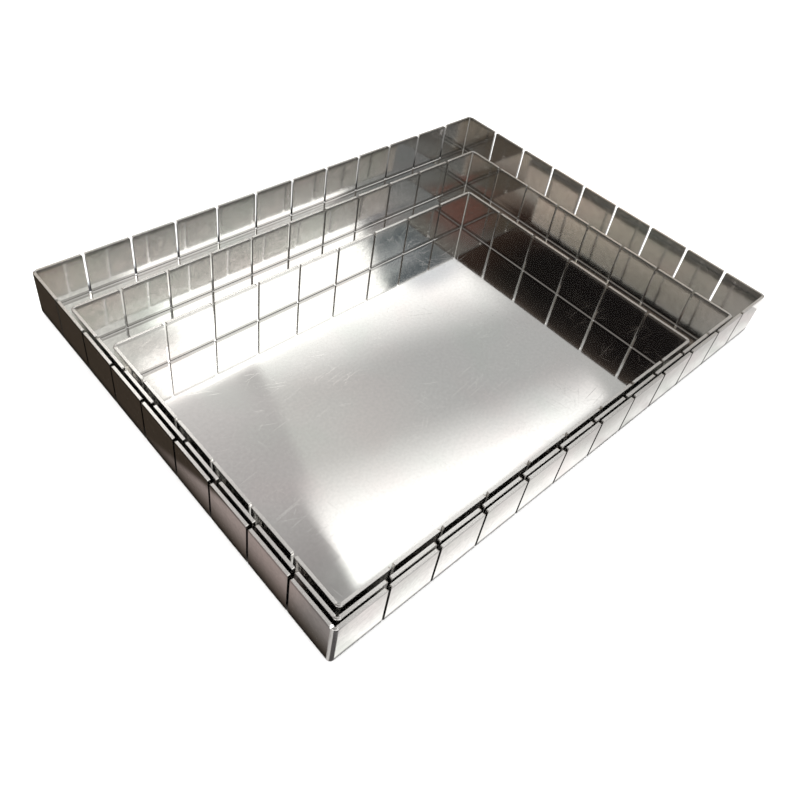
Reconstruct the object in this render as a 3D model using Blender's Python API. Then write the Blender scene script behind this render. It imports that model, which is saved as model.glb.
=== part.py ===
"""Nest of three slotted baking trays, standing one in another. Metres, +Z up.

Each tray is one cut sheet: a floor whose four sides are folded up, with slits down the walls so that a knife
can be drawn straight across the bake. The four upright corners are closed by welds. The trays are pushed
together at the front left corner, so the space between them is widest along the back and the right.
"""

import math

import bmesh
import bpy
from mathutils import Vector

# Sheet and folds
SHEET = 0.0018              # thickness of the metal
BEND_RADIUS = 0.0008        # inside radius of the fold between floor and wall
BEND_STEPS = 4              # facets round the fold
WALL_HEIGHT = 0.034         # underside of the floor to the rim, the same on all three trays

# Knife slits
SLIT_WIDTH = 0.0022
SLIT_ROOT_STEP = 2          # a slit ends on this facet line of the fold, counted from the floor
MOUTH_RADIUS = 0.0018       # rounding of the rim on the side of a slit that leads the knife in
MOUTH_STEPS = 5
CORNER_RADIUS = 0.0006      # rounding of the rim on the other side
CORNER_STEPS = 3

# Inner tray, outside sizes
INNER_LENGTH = 0.297
INNER_WIDTH = 0.202

# How far a tray stands off the left and the front wall of the tray that holds it
INNER_STANDOFF_LEFT = 0.0018
INNER_STANDOFF_FRONT = 0.0016
MIDDLE_STANDOFF_LEFT = 0.0012
MIDDLE_STANDOFF_FRONT = 0.0006

# Clear space left beside the tray that is held, along the right and the back wall
MIDDLE_CHANNEL_RIGHT = 0.0496
MIDDLE_CHANNEL_BACK = 0.0418
OUTER_CHANNEL_RIGHT = 0.0432
OUTER_CHANNEL_BACK = 0.0438

# Panels that the slits leave on the long and on the short walls
INNER_PANELS = (9, 6)
MIDDLE_PANELS = (11, 8)
OUTER_PANELS = (12, 9)

# Corner welds
WELD_GAP = 0.0003           # between a weld and the two wall ends that it closes
WELD_TURN_STEPS = 6         # facets round the corner
WELD_FOOT_STEPS = 4         # facets under the corner
WELD_CAP_STEPS = 4          # facets over the rounded top

SEAT_GAP = 0.0003           # under a tray that rests on the floor of another

SMOOTH_BELOW = math.radians(40)     # facets that meet at less than this are shaded as one curve
MERGE_DISTANCE = 0.000001

# What follows from them
OUTER_BEND_RADIUS = BEND_RADIUS + SHEET
QUARTER_TURN = math.pi / 2
BEND_LENGTH = QUARTER_TURN * (BEND_RADIUS + SHEET / 2)       # along the middle of the sheet
FLAT_WALL = BEND_LENGTH + WALL_HEIGHT - OUTER_BEND_RADIUS    # floor's edge to the rim, laid flat
WELD_RADIUS = OUTER_BEND_RADIUS - WELD_GAP

MIDDLE_LENGTH = SHEET + INNER_STANDOFF_LEFT + INNER_LENGTH + MIDDLE_CHANNEL_RIGHT + SHEET
MIDDLE_WIDTH = SHEET + INNER_STANDOFF_FRONT + INNER_WIDTH + MIDDLE_CHANNEL_BACK + SHEET
OUTER_LENGTH = SHEET + MIDDLE_STANDOFF_LEFT + MIDDLE_LENGTH + OUTER_CHANNEL_RIGHT + SHEET
OUTER_WIDTH = SHEET + MIDDLE_STANDOFF_FRONT + MIDDLE_WIDTH + OUTER_CHANNEL_BACK + SHEET


def clear_scene():
    for item in list(bpy.data.objects):
        bpy.data.objects.remove(item, do_unlink=True)


def bare_metal(name, colour, roughness):
    material = bpy.data.materials.new(name)
    material.use_nodes = True
    shader = material.node_tree.nodes["Principled BSDF"]
    shader.inputs["Base Color"].default_value = (*colour, 1)
    shader.inputs["Metallic"].default_value = 1
    shader.inputs["Roughness"].default_value = roughness
    return material


def finished_object(name, shape, material, parent, location):
    """Turns a bmesh into an object that is fixed to its tray's empty."""
    bmesh.ops.recalc_face_normals(shape, faces=shape.faces)
    mesh = bpy.data.meshes.new(name)
    shape.to_mesh(mesh)
    shape.free()
    mesh.shade_smooth()
    mesh.set_sharp_from_angle(angle=SMOOTH_BELOW)
    mesh.materials.append(material)
    item = bpy.data.objects.new(name, mesh)
    bpy.context.collection.objects.link(item)
    item.parent = parent
    item.location = location
    return item


def rounded_corner(edge, towards, radius, steps):
    """Points from a panel's upright edge to its rim, as (along, up) on the flat sheet.

    Towards is +1 or -1, from the edge into the panel.
    """
    angles = [QUARTER_TURN * step / steps for step in range(steps + 1)]
    return [
        (edge + towards * radius * (1 - math.cos(angle)), FLAT_WALL - radius * (1 - math.sin(angle)))
        for angle in angles
    ]


def panel_faces(start, end, opens_at_start, opens_at_end):
    """One panel of a wall, from the slits' roots to the rim.

    An end that meets a weld keeps its square corner.
    """
    fold_lines = [BEND_LENGTH * step / BEND_STEPS for step in range(SLIT_ROOT_STEP, BEND_STEPS + 1)]
    faces = [
        [(start, low), (end, low), (end, high), (start, high)]
        for low, high in zip(fold_lines, fold_lines[1:])
    ]
    start_corner = [(start, FLAT_WALL)]
    end_corner = [(end, FLAT_WALL)]
    if opens_at_start:
        start_corner = rounded_corner(start, 1, CORNER_RADIUS, CORNER_STEPS)
    if opens_at_end:
        end_corner = rounded_corner(end, -1, MOUTH_RADIUS, MOUTH_STEPS)
    faces.append([(start, BEND_LENGTH), (end, BEND_LENGTH), *end_corner, *reversed(start_corner)])
    return faces


def wall_faces(length, panels):
    """The faces of one wall laid flat, as lists of (along, up) points measured from the floor's corner."""
    pitch = (length + 2 * OUTER_BEND_RADIUS) / panels
    slits = [pitch * count - OUTER_BEND_RADIUS for count in range(1, panels)]
    starts = [0] + [slit + SLIT_WIDTH / 2 for slit in slits]
    ends = [slit - SLIT_WIDTH / 2 for slit in slits] + [length]
    facet = BEND_LENGTH / BEND_STEPS
    faces = [
        [(0, facet * step), (length, facet * step), (length, facet * (step + 1)), (0, facet * (step + 1))]
        for step in range(SLIT_ROOT_STEP - 1)
    ]
    # The top strip below the slits shares its upper edge with every panel, so it has all their corners.
    root = facet * SLIT_ROOT_STEP
    roots = [(along, root) for start, end in zip(starts, ends) for along in (start, end)]
    faces.append([(0, root - facet), (length, root - facet), *reversed(roots)])
    for index, (start, end) in enumerate(zip(starts, ends)):
        faces += panel_faces(start, end, index > 0, index < panels - 1)
    return faces


def fold_up(point, sides):
    """Bends a point of the flat sheet to its place in the folded one. The floor's own points stay."""
    for corner, along, outward, _, _ in sides:
        distance = (point - corner).dot(outward)
        if distance <= 0:
            continue
        foot = corner + along * (point - corner).dot(along)
        radius = OUTER_BEND_RADIUS - point.z
        angle = QUARTER_TURN * min(distance / BEND_LENGTH, 1)
        above_fold = max(distance - BEND_LENGTH, 0)
        height = OUTER_BEND_RADIUS - radius * math.cos(angle) + above_fold
        return foot + outward * radius * math.sin(angle) + Vector((0, 0, height))
    return point


def add_sheet(name, length, width, panels, material, parent):
    """Lays out the cut sheet flat around its centre, gives it its thickness and folds up its walls."""
    left, right = OUTER_BEND_RADIUS - length / 2, length / 2 - OUTER_BEND_RADIUS
    front, back = OUTER_BEND_RADIUS - width / 2, width / 2 - OUTER_BEND_RADIUS
    long_panels, short_panels = panels
    to_right, to_back = Vector((1, 0, 0)), Vector((0, 1, 0))
    sides = (
        (Vector((left, front, 0)), to_right, -to_back, right - left, long_panels),
        (Vector((left, back, 0)), to_right, to_back, right - left, long_panels),
        (Vector((left, front, 0)), to_back, -to_right, back - front, short_panels),
        (Vector((right, front, 0)), to_back, to_right, back - front, short_panels),
    )
    shape = bmesh.new()
    floor = ((left, front), (right, front), (right, back), (left, back))
    outlines = [[Vector((x, y, 0)) for x, y in floor]]
    for corner, along, outward, side_length, count in sides:
        for outline in wall_faces(side_length, count):
            outlines.append([corner + along * place + outward * up for place, up in outline])
    for outline in outlines:
        shape.faces.new([shape.verts.new(point) for point in outline])
    bmesh.ops.remove_doubles(shape, verts=shape.verts, dist=MERGE_DISTANCE)
    bmesh.ops.recalc_face_normals(shape, faces=shape.faces)
    extruded = bmesh.ops.extrude_face_region(shape, geom=shape.faces[:])
    upper = [item for item in extruded["geom"] if isinstance(item, bmesh.types.BMVert)]
    bmesh.ops.translate(shape, verts=upper, vec=(0, 0, SHEET))
    for vertex in shape.verts:
        vertex.co = fold_up(vertex.co.copy(), sides)
    return finished_object(name, shape, material, parent, (0, 0, 0))


def weld_profile():
    """The weld cut through its middle, as (out from the corner's axis, height) points."""
    foot = [QUARTER_TURN * step / WELD_FOOT_STEPS for step in range(WELD_FOOT_STEPS + 1)]
    cap_radius = SHEET / 2
    cap = [math.pi * step / WELD_CAP_STEPS for step in range(WELD_CAP_STEPS + 1)]
    inner_radius = WELD_RADIUS - SHEET
    outside = [(WELD_RADIUS * math.sin(angle), WELD_RADIUS * (1 - math.cos(angle))) for angle in foot]
    top = [
        (WELD_RADIUS - cap_radius * (1 - math.cos(angle)), WALL_HEIGHT - cap_radius * (1 - math.sin(angle)))
        for angle in cap
    ]
    inside = [
        (inner_radius * math.sin(angle), WELD_RADIUS - inner_radius * math.cos(angle)) for angle in foot
    ]
    return [*outside, *top, *reversed(inside)]


def add_weld(name, length, width, side_x, side_y, material, parent):
    """The weld in one upright corner. Sides are +1 or -1, towards the corner from the tray's middle."""
    shape = bmesh.new()
    quarters_before = {(1, 1): 0, (-1, 1): 1, (-1, -1): 2, (1, -1): 3}[side_x, side_y]
    start_angle = quarters_before * QUARTER_TURN
    arm = Vector((math.cos(start_angle), math.sin(start_angle), 0))
    profile = [arm * out + Vector((0, 0, height)) for out, height in weld_profile()]
    section = shape.faces.new([shape.verts.new(point) for point in profile])
    bmesh.ops.spin(
        shape,
        geom=[section, *section.edges, *section.verts],
        cent=(0, 0, 0),
        axis=(0, 0, 1),
        angle=QUARTER_TURN,
        steps=WELD_TURN_STEPS,
    )
    bmesh.ops.remove_doubles(shape, verts=shape.verts, dist=MERGE_DISTANCE)
    axis = Vector((side_x * (length / 2 - WELD_RADIUS), side_y * (width / 2 - WELD_RADIUS), 0))
    return finished_object(name, shape, material, parent, axis)


def add_tray(name, length, width, panels, corner, height, sheet_metal, weld_metal):
    """One tray. Corner is where its front left outside corner stands, height that of its underside."""
    centre = bpy.data.objects.new(f"{name}_tray", None)
    bpy.context.collection.objects.link(centre)
    centre.location = (corner[0] + length / 2, corner[1] + width / 2, height)
    add_sheet(f"{name}_sheet", length, width, panels, sheet_metal, centre)
    for depth, side_y in (("front", -1), ("back", 1)):
        for hand, side_x in (("left", -1), ("right", 1)):
            add_weld(f"{name}_weld_{depth}_{hand}", length, width, side_x, side_y, weld_metal, centre)


def main():
    clear_scene()
    sheet_metal = bare_metal("polished_sheet", (0.72, 0.71, 0.69), 0.22)
    weld_metal = bare_metal("dressed_weld", (0.62, 0.61, 0.6), 0.35)
    outer_corner = (-OUTER_LENGTH / 2, -OUTER_WIDTH / 2)
    middle_corner = (
        outer_corner[0] + SHEET + MIDDLE_STANDOFF_LEFT,
        outer_corner[1] + SHEET + MIDDLE_STANDOFF_FRONT,
    )
    inner_corner = (
        middle_corner[0] + SHEET + INNER_STANDOFF_LEFT,
        middle_corner[1] + SHEET + INNER_STANDOFF_FRONT,
    )
    nesting_step = SHEET + SEAT_GAP
    trays = (
        ("outer", OUTER_LENGTH, OUTER_WIDTH, OUTER_PANELS, outer_corner),
        ("middle", MIDDLE_LENGTH, MIDDLE_WIDTH, MIDDLE_PANELS, middle_corner),
        ("inner", INNER_LENGTH, INNER_WIDTH, INNER_PANELS, inner_corner),
    )
    for place, (name, length, width, panels, corner) in enumerate(trays):
        add_tray(name, length, width, panels, corner, nesting_step * place, sheet_metal, weld_metal)


main()
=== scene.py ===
"""The looks of a nest of three slotted baking trays, laid out as an add-on.

Each tray is one blank of polished sheet that is slit, folded up and welded at its corners. The blanks are
made by Geometry Nodes from the sizes below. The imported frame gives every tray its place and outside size.
"""
import math

import bmesh
import bpy
from mathutils import Matrix, Quaternion, Vector, noise


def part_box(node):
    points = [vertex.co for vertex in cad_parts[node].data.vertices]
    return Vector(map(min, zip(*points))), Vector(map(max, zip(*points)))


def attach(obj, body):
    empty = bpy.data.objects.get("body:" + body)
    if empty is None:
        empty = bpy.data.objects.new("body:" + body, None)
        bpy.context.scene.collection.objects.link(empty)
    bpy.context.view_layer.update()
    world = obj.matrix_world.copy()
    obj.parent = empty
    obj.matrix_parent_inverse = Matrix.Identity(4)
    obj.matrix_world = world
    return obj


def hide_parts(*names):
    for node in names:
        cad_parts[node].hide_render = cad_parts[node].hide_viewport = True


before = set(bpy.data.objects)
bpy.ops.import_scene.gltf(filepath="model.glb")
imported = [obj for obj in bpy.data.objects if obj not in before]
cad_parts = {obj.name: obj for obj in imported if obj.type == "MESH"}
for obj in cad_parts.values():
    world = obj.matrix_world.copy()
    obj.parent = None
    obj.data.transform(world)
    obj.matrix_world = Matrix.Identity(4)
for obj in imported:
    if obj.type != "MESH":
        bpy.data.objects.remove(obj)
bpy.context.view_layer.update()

bl_info = {
    "name": "Slotted Tray Nest",
    "version": (1, 0, 0),
    "blender": (4, 5, 0),
    "location": "3D View > Sidebar > Trays",
    "description": "Dresses a nest of three slotted baking trays and sets up their stage",
    "category": "Object",
}

TRAYS = ("outer", "middle", "inner")
OUTER_LOW, OUTER_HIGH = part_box("outer_sheet")

QUARTER_TURN = math.pi / 2
MILLIMETRES = 1000  # millimetres in a metre
MERGE_DISTANCE = 0.000001  # points closer than this become one

# Rows and columns of the mesh of a blank
BEND_ROWS = 6  # rows round the fold
WALL_ROWS = 8  # rows from the fold to the rim, closer together towards the rim
SLIT_ROOT_ROW = 3  # a slit ends on this row of the fold
START_COLUMNS = 3  # columns round the small corner of a panel
FLAT_COLUMNS = 3  # columns along its straight rim
MOUTH_COLUMNS = 5  # columns round its large corner
PANEL_COLUMNS = START_COLUMNS + FLAT_COLUMNS + MOUTH_COLUMNS
PANEL_POINTS = PANEL_COLUMNS + 1
FLAP_ROWS = BEND_ROWS + WALL_ROWS

# How the sheet's edges and folds are finished
EDGE_SEGMENTS = 3
EDGE_ANGLE = math.radians(38)  # a fold sharper than this is an edge and gets dressed


def sum_node(operation, swapped=False):
    """A method that adds a Math node for two terms, or for the two swapped."""
    def method(socket, other):
        terms = (other, socket) if swapped else (socket, other)
        return socket.plan.math(operation, *terms)

    return method


class Socket:
    """An output of a node. Sums on it add Math nodes to its tree."""

    def __init__(self, plan, output):
        self.plan = plan
        self.output = output

    def __getitem__(self, name):
        return Socket(self.plan, self.output.node.outputs[name])

    __add__ = __radd__ = sum_node("ADD")
    __mul__ = __rmul__ = sum_node("MULTIPLY")
    __sub__ = sum_node("SUBTRACT")
    __rsub__ = sum_node("SUBTRACT", swapped=True)
    __truediv__ = sum_node("DIVIDE")
    __rtruediv__ = sum_node("DIVIDE", swapped=True)
    __gt__ = sum_node("GREATER_THAN")
    __lt__ = sum_node("LESS_THAN")


class Plan:
    """A node tree and the few ways in which nodes are added to it."""

    def __init__(self, tree):
        self.tree = tree

    def node(self, kind, sockets=(), **settings):
        """Adds a node with its settings, and gives its sockets values or links."""
        node = self.tree.nodes.new(kind)
        for name, value in settings.items():
            setattr(node, name, value)
        for key, value in dict(sockets).items():
            self.feed(self.input_of(node, key), value)
        outputs = [output for output in node.outputs if output.enabled]
        return Socket(self, outputs[0]) if outputs else None

    def input_of(self, node, key):
        if isinstance(key, int):
            return node.inputs[key]
        return next(socket for socket in node.inputs if socket.enabled and socket.name == key)

    def feed(self, socket, value):
        if isinstance(value, list):
            for part in value:
                self.feed(socket, part)
        elif isinstance(value, Socket):
            self.tree.links.new(value.output, socket)
        elif isinstance(value, tuple) and socket.type == "RGBA" and len(value) == 3:
            socket.default_value = (*value, 1)
        else:
            socket.default_value = value

    def math(self, operation, *values):
        return self.node("ShaderNodeMath", enumerate(values), operation=operation)

    def clamped(self, value, low=0, high=1):
        return self.math("MINIMUM", self.math("MAXIMUM", value, low), high)

    def vector(self, x, y, z):
        return self.node("ShaderNodeCombineXYZ", {"X": x, "Y": y, "Z": z})

    def split(self, vector):
        return self.node("ShaderNodeSeparateXYZ", {"Vector": vector})

    def sum_of(self, first, second):
        return self.node("ShaderNodeVectorMath", {0: first, 1: second}, operation="ADD")

    def noise(self, vector, waves, detail=2.0, roughness=0.5, distortion=0.0):
        """Noise with so many waves to the metre, given as one number or one for each axis."""
        scale = waves
        if isinstance(waves, tuple):
            vector = self.node("ShaderNodeVectorMath", {0: vector, 1: waves}, operation="MULTIPLY")
            scale = 1.0
        return self.node("ShaderNodeTexNoise", {
            "Vector": vector, "Scale": scale,
            "Detail": detail, "Roughness": roughness, "Distortion": distortion,
        })

    def stored(self, geometry, name, value, kind="FLOAT", domain="POINT"):
        """Geometry with a value kept on it under a name."""
        sockets = {"Geometry": geometry, "Name": name, "Value": value}
        return self.node("GeometryNodeStoreNamedAttribute", sockets, data_type=kind, domain=domain)

    def kept(self, name, kind="FLOAT"):
        """A value kept on the geometry, read by Geometry Nodes."""
        return self.node("GeometryNodeInputNamedAttribute", {"Name": name}, data_type=kind)

    def painted(self, name):
        """A value kept on the geometry, read by a material."""
        return self.node("ShaderNodeAttribute", attribute_name=name)["Fac"]

    def ramp(self, value, low, high, to_low=0.0, to_high=1.0):
        """A soft step from one value to another."""
        sockets = {"Value": value, "From Min": low, "From Max": high, "To Min": to_low, "To Max": to_high}
        return self.node("ShaderNodeMapRange", sockets, interpolation_type="SMOOTHSTEP")

    def blend(self, factor, first, second):
        return self.node("ShaderNodeMix", {"Factor": factor, "A": first, "B": second}, data_type="RGBA")


def setting(kind, **fixed):
    """A form of one of Blender's properties that takes a name, a description and a default."""
    def made(name, description, default):
        return kind(name=name, description=description, default=default, **fixed)

    return made


length_value = setting(bpy.props.FloatProperty, unit="LENGTH", precision=5)
angle_value = setting(bpy.props.FloatProperty, unit="ROTATION")
share_value = setting(bpy.props.FloatProperty, subtype="FACTOR")
lens_value = setting(bpy.props.FloatProperty, unit="CAMERA")
strength_value = setting(bpy.props.FloatProperty)
colour_value = setting(bpy.props.FloatVectorProperty, subtype="COLOR")
place_value = setting(bpy.props.FloatVectorProperty, subtype="TRANSLATION")
shift_value = setting(bpy.props.FloatVectorProperty, size=2)
tray_values = setting(bpy.props.FloatVectorProperty, size=len(TRAYS))
panel_numbers = setting(bpy.props.IntVectorProperty, size=2)
number_value = setting(bpy.props.IntProperty)


class TraySizes(bpy.types.PropertyGroup):
    sheet: length_value("Sheet", "Thickness of the metal", 0.0018)
    wall_height: length_value("Wall height", "Underside of the floor to the rim", OUTER_HIGH.z - OUTER_LOW.z)
    bend_radius: length_value("Bend radius", "Inside radius of the fold between floor and wall", 0.0008)
    slit_width: length_value("Slit width", "Width of the knife slits", 0.0018)
    mouth_radius: length_value("Mouth radius", "Rounding of the rim that leads a knife into a slit", 0.0013)
    short_wall_mouth: length_value("Short wall mouth", "This rounding on the left and right walls", 0.0009)
    corner_radius: length_value("Corner radius", "Rounding of the rim on the other side of a slit", 0.0006)
    edge: length_value("Edge", "Width of the dressed edges", 0.00032)
    roll_depth: length_value("Roll depth", "How far each face is drawn in at the sheared rim", 0.00003)
    roll_height: length_value("Roll height", "How far down from the rim the faces are drawn in", 0.003)
    lean: length_value("Lean", "How far a panel leans in at most at the rim", 0.00016)
    bow: length_value("Bow", "How far a panel bows in at most across its width", 0.00003)
    rim_drop: length_value("Rim drop", "How much lower than the tallest panel a rim is at most", 0.00025)
    floor_wave: length_value("Floor wave", "Height of the slow waves in the floor", 0.00012)
    wave_length: length_value("Wave length", "Distance between the slow waves in the floor", 0.07)
    outer_panels: panel_numbers("Outer panels", "Panels on a long and a short wall", (12, 9))
    middle_panels: panel_numbers("Middle panels", "Panels on a long and a short wall", (11, 8))
    inner_panels: panel_numbers("Inner panels", "Panels on a long and a short wall", (9, 6))
    wall_blur: tray_values("Wall blur", "How much rougher the walls are than the floors", (0.03, 0.02, 0.0))
    outside_blur: tray_values("Outside blur", "How much rougher still their outsides are", (0.0, 0.1, 0.1))
    seed: number_value("Seed", "Picks the unevenness of the panels", 7)


class WeldSizes(bpy.types.PropertyGroup):
    ripple: length_value("Ripple", "Depth of the dressed weld's ripples", 0.00003)
    ripple_pitch: length_value("Ripple pitch", "Distance from one ripple to the next", 0.0017)
    drop: length_value("Drop", "Radius of the drop of metal left on the front corner's rim", 0.0011)
    drop_place: place_value(
        "Drop place", "Where the drop sits, from the top of the corner's axis", (-0.0016, 0.0003, -0.0008))
    overlap: angle_value("Overlap", "How far a weld runs into the wall ends", math.radians(5))


class MetalFinish(bpy.types.PropertyGroup):
    sheet: colour_value("Sheet", "Colour of the polished sheet", (0.87, 0.862, 0.845))
    green_bloom: colour_value("Green bloom", "Tint of the thinnest oxide bloom", (0.83, 0.85, 0.82))
    rose_bloom: colour_value("Rose bloom", "Tint of the thicker oxide bloom", (0.88, 0.845, 0.83))
    speckle: colour_value("Speckle", "Colour that the satin speckle tends to", (0.76, 0.75, 0.735))
    mottle: colour_value("Mottle", "Colour of the duller patches on the walls", (0.72, 0.715, 0.7))
    # Below the rims the sheared sheet is rougher, and its darker colour there is painted shade
    shear_band: colour_value("Shear band", "Colour of the sheared band below the rims", (0.42, 0.415, 0.41))
    # The fold shade is painted shade: a dark line where each fold meets its wall
    crease: colour_value("Crease", "Colour of the dull line along the folds", (0.3, 0.29, 0.28))
    # Painted shade on the cut faces inside the narrow slits
    slit_side: colour_value("Slit side", "Colour of the cut faces inside the slits", (0.22, 0.215, 0.21))
    cut: colour_value("Cut edge", "Colour of the sheared edges", (0.93, 0.915, 0.89))
    weld: colour_value("Weld", "Colour of the dressed welds", (0.78, 0.77, 0.755))
    polish: share_value("Polish", "Roughness of the polished faces", 0.055)
    bulge: length_value("Bulge", "How far a wall seems to bulge between fold and rim", 0.0000875)
    grain: share_value("Grain", "How much the rolling grain changes the roughness", 0.02)


class StageSettings(bpy.types.PropertyGroup):
    azimuth: angle_value("Azimuth", "Direction of view from above", math.radians(-48.952))
    elevation: angle_value("Elevation", "Height of view above the horizon", math.radians(43.67))
    roll: angle_value("Roll", "Turn of the camera about its view", math.radians(9.803))
    stand: place_value("Stand", "Where the camera stands", (-0.31518, -0.25221, 0.35797))
    lens: lens_value("Lens", "Focal length for a sensor of 36 mm", 34.726)
    shift: shift_value("Shift", "Shift of the picture that the framing needs", (0.0125, -0.06875))
    floor: colour_value("Floor", "Colour of the pale floor", (0.85, 0.848, 0.845))
    mirrored_floor: colour_value("Mirrored floor", "Colour of the floor in the metal", (0.55, 0.54, 0.53))
    daylight: strength_value("Daylight", "Strength of the even light on the floor", 2.2)


def new_object(name, mesh):
    item = bpy.data.objects.new(name, mesh)
    bpy.context.scene.collection.objects.link(item)
    return item


def new_material(name):
    material = bpy.data.materials.new(name)
    material.use_nodes = True
    material.node_tree.nodes.clear()
    return material, Plan(material.node_tree)


def finish_material(plan, surface):
    plan.node("ShaderNodeOutputMaterial", {"Surface": surface})


def panel_columns(plan, column, length, panels, large, sizes):
    """Where a column of the blank lies along a side: its place from the floor's corner, how far the rim's
    rounded corners drop there, its place across its panel, and the panel's number."""
    fold = sizes["fold"]
    half_slit = sizes["slit_width"] * 0.5
    pitch = length / panels
    panel = plan.math("FLOOR", column / PANEL_POINTS)
    point = column - panel * PANEL_POINTS
    start = plan.math("MAXIMUM", panel * pitch - fold + half_slit, 0)
    end = plan.math("MINIMUM", (panel + 1) * pitch - fold - half_slit, length - fold * 2)
    start_turn = plan.math("MINIMUM", point / START_COLUMNS, 1) * QUARTER_TURN
    mouth_turn = plan.math("MINIMUM", (PANEL_COLUMNS - point) / MOUTH_COLUMNS, 1) * QUARTER_TURN
    flat = plan.clamped((point - START_COLUMNS) / FLAT_COLUMNS)
    small = sizes["corner_radius"]
    along = (
        start
        + small * (1 - plan.math("COSINE", start_turn))
        + flat * (end - start - small - large)
        + large * plan.math("COSINE", mouth_turn)
    )
    not_first = panel > 0.5
    not_last = panel < panels - 1.5
    drop = (
        not_first * small * (1 - plan.math("SINE", start_turn))
        + not_last * large * (1 - plan.math("SINE", mouth_turn))
    )
    across = plan.clamped((along - start) / (end - start))
    return {
        "along": along, "drop": drop, "across": across, "panel": panel,
        "not_first": not_first, "not_last": not_last,
    }


# Numbers that keep the panels' random draws apart
NUMBERS_ON_A_SIDE = 50
NUMBERS_IN_A_DRAW = 400
LONG_SIDES = 1  # the long sides are numbers 0 and 2
SHORT_SIDES = 5  # the short ones are numbers 4 and 6


def uneven_panel(plan, columns, side, sizes):
    """How far a panel leans and bows in at its rim, and how much lower its rim is."""
    number = columns["panel"] + side * NUMBERS_ON_A_SIDE

    def draw(high, turn):
        return plan.node("FunctionNodeRandomValue", {
            "Min": 0.0, "Max": high, "ID": number + turn * NUMBERS_IN_A_DRAW, "Seed": sizes["seed"],
        }, data_type="FLOAT")

    across = columns["across"]
    lean = (
        draw(sizes["lean"], 0) * (1 - across) * columns["not_first"]
        + draw(sizes["lean"], 1) * across * columns["not_last"]
    )
    bow = draw(sizes["bow"], 2) * across * (1 - across) * 4
    return lean + bow, draw(sizes["rim_drop"], 3)


def flap_rows(plan, over, drop, sizes):
    """Where a row of a flap lies: its distance from the floor's edge on the flat blank, its share of the
    wall's height and its distance from the rim."""
    wall = sizes["wall_height"] - sizes["fold"] - drop
    below_rim = 1 - plan.clamped((over - BEND_ROWS) / WALL_ROWS)
    share = 1 - below_rim * below_rim
    reach = sizes["bend_length"] * plan.math("MINIMUM", over / BEND_ROWS, 1) + share * wall
    return reach, share, (1 - share) * wall


# The tree's inputs: the settings of the same names, and what each tray has of its own
SHARED_SIZES = (
    "wall_height", "sheet", "bend_radius", "slit_width", "mouth_radius", "short_wall_mouth", "corner_radius",
    "roll_depth", "roll_height", "lean", "bow", "rim_drop", "floor_wave", "wave_length",
)
OWN_SIZES = ("length", "width", "long_panels", "short_panels", "wall_blur", "outside_blur")


def blank_inputs(tree):
    """The named inputs of the tree of a tray's sheet."""
    tree.interface.new_socket("Geometry", in_out="OUTPUT", socket_type="NodeSocketGeometry")
    kinds = {name: "Float" for name in OWN_SIZES + SHARED_SIZES}
    kinds.update({"place": "Vector", "seed": "Int", "metal": "Material"})
    for name, kind in kinds.items():
        tree.interface.new_socket(name, in_out="INPUT", socket_type=f"NodeSocket{kind}")


# Where the finish changes, as where the change starts and where it is whole
FLOOR_TO_WALL = (0.0, 0.08)  # in shares of the wall's height
# The painted shade on the slits' cut faces fades in below the rim
SHADED_SLIT_SIDES = (0.001, 0.002)  # in metres below the rim
WAVES_FROM_FOLD = (0.05, 0.5)  # in lengths of a wave


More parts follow.
